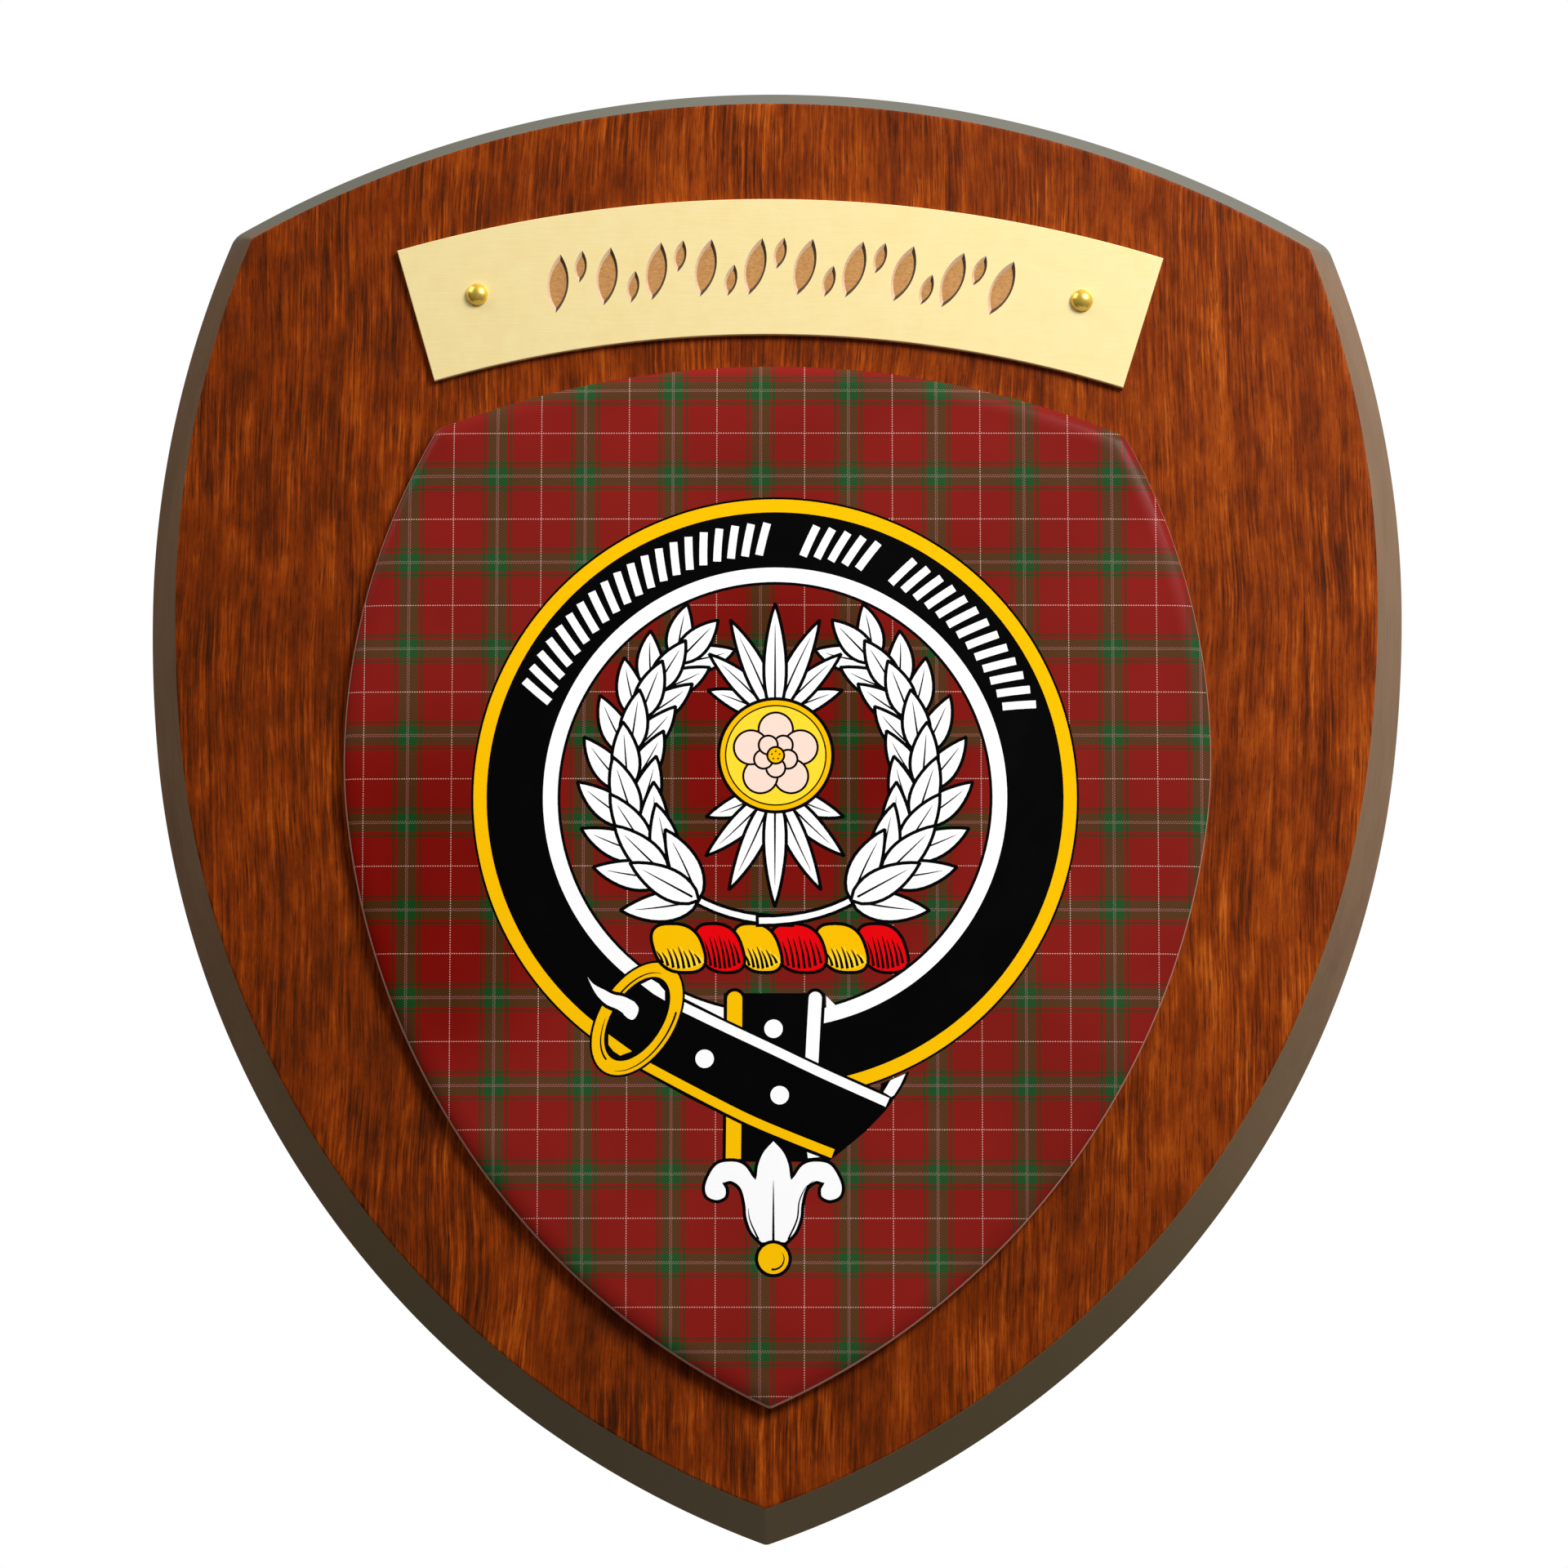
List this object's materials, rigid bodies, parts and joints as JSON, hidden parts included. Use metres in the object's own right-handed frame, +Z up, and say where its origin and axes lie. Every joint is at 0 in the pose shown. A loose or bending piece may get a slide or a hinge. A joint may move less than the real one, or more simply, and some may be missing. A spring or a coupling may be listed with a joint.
{
  "type": "wooden heraldic shield plaque",
  "caption": "Shield-shaped wooden wall plaque with a bevelled edge, a domed tartan shield panel, an arched brass nameplate on dome-headed pins and a keyhole slot in the back.",
  "frame": {"origin": "middle of the flat back, halfway up the height of the board's outline", "axes": "+Z up towards the curved top edge, -Y out of the carved front, +Y into the wall, +X to the viewer's right when facing the front"},
  "size_m": [0.175, 0.0214, 0.2037],
  "materials": {
    "mahogany": "satin lacquered mahogany with upright grain, plainer and greyer brown on the bevelled edge",
    "printed_panel": "printed red and green tartan with a round black, gold and white emblem, under a clear gloss coat",
    "nameplate_brass": "pale satin brass with copper-coloured engraving",
    "pin_brass": "polished"
  },
  "bodies": {
    "root": {"board": "mahogany", "tartan_panel": "printed_panel", "nameplate": "nameplate_brass", "pin_left": "pin_brass", "pin_right": "pin_brass"}
  },
  "joints": []
}
